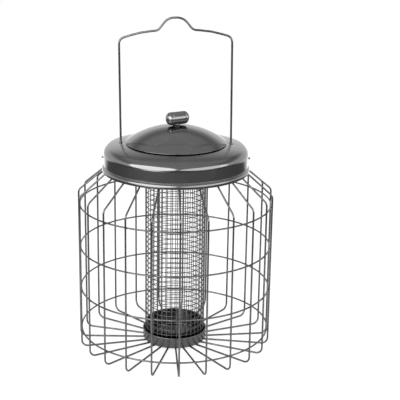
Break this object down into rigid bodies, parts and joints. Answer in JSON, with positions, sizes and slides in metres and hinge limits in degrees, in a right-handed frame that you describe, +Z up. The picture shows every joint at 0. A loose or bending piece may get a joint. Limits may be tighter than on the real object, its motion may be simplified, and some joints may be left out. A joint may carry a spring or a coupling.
{
  "type": "hanging bird feeder",
  "caption": "Hanging nut feeder for small birds: a mesh tube in a round wire cage under a canopy, with a domed lift-off lid and a wire bail.",
  "frame": {"origin": "centre of the round cage, on the surface that the feeder stands on", "axes": "+Z up along the feeder's axis, -Y towards the pictured front, X along the bail's pivot line"},
  "size_m": [0.239, 0.2393, 0.4084],
  "materials": {
    "canopy_metal": "gloss",
    "lid_metal": "gloss",
    "knob_metal": "gloss",
    "bail_metal": "gloss",
    "cage_wire_metal": "gloss",
    "mesh_metal": "satin",
    "tray_metal": "gloss",
    "fastener_metal": "satin"
  },
  "bodies": {
    "feeder": {"canopy": "canopy_metal", "filler_funnel": "canopy_metal", "cage_top_hoop": "cage_wire_metal", "cage_bottom_hoop": "cage_wire_metal", "cage_ring_1": "cage_wire_metal", "cage_ring_2": "cage_wire_metal", "cage_ring_3": "cage_wire_metal", "cage_ring_4": "cage_wire_metal", "cage_wire_01": "cage_wire_metal", "cage_wire_02": "cage_wire_metal", "cage_wire_03": "cage_wire_metal", "cage_wire_04": "cage_wire_metal", "cage_wire_05": "cage_wire_metal", "cage_wire_06": "cage_wire_metal", "cage_wire_07": "cage_wire_metal", "cage_wire_08": "cage_wire_metal", "cage_wire_09": "cage_wire_metal", "cage_wire_10": "cage_wire_metal", "cage_wire_11": "cage_wire_metal", "cage_wire_12": "cage_wire_metal", "cage_wire_13": "cage_wire_metal", "cage_wire_14": "cage_wire_metal", "cage_wire_15": "cage_wire_metal", "cage_wire_16": "cage_wire_metal", "cage_wire_17": "cage_wire_metal", "cage_wire_18": "cage_wire_metal", "cage_wire_19": "cage_wire_metal", "cage_wire_20": "cage_wire_metal", "cage_wire_21": "cage_wire_metal", "cage_wire_22": "cage_wire_metal", "cage_wire_23": "cage_wire_metal", "mesh_tube_lower": "mesh_metal", "mesh_tube_upper": "mesh_metal", "base_tray": "tray_metal", "seed_cup": "tray_metal"},
    "lid": {"dome_lid": "lid_metal", "lid_collar": "lid_metal", "lid_knob": "knob_metal", "knob_post": "fastener_metal", "knob_washer": "fastener_metal", "knob_nut": "fastener_metal"},
    "bail": {"bail_handle": "bail_metal"}
  },
  "joints": [
    {"name": "lid_lift", "type": "slide", "parent": "feeder", "child": "lid", "axis": [0, 0, 1], "range_m": [0, 0.08]},
    {"name": "bail_rock", "type": "hinge", "parent": "feeder", "child": "bail", "pos_m": [0, 0, 0.2378], "axis": [1, 0, 0], "range_deg": [-3.5, 3.5]}
  ]
}
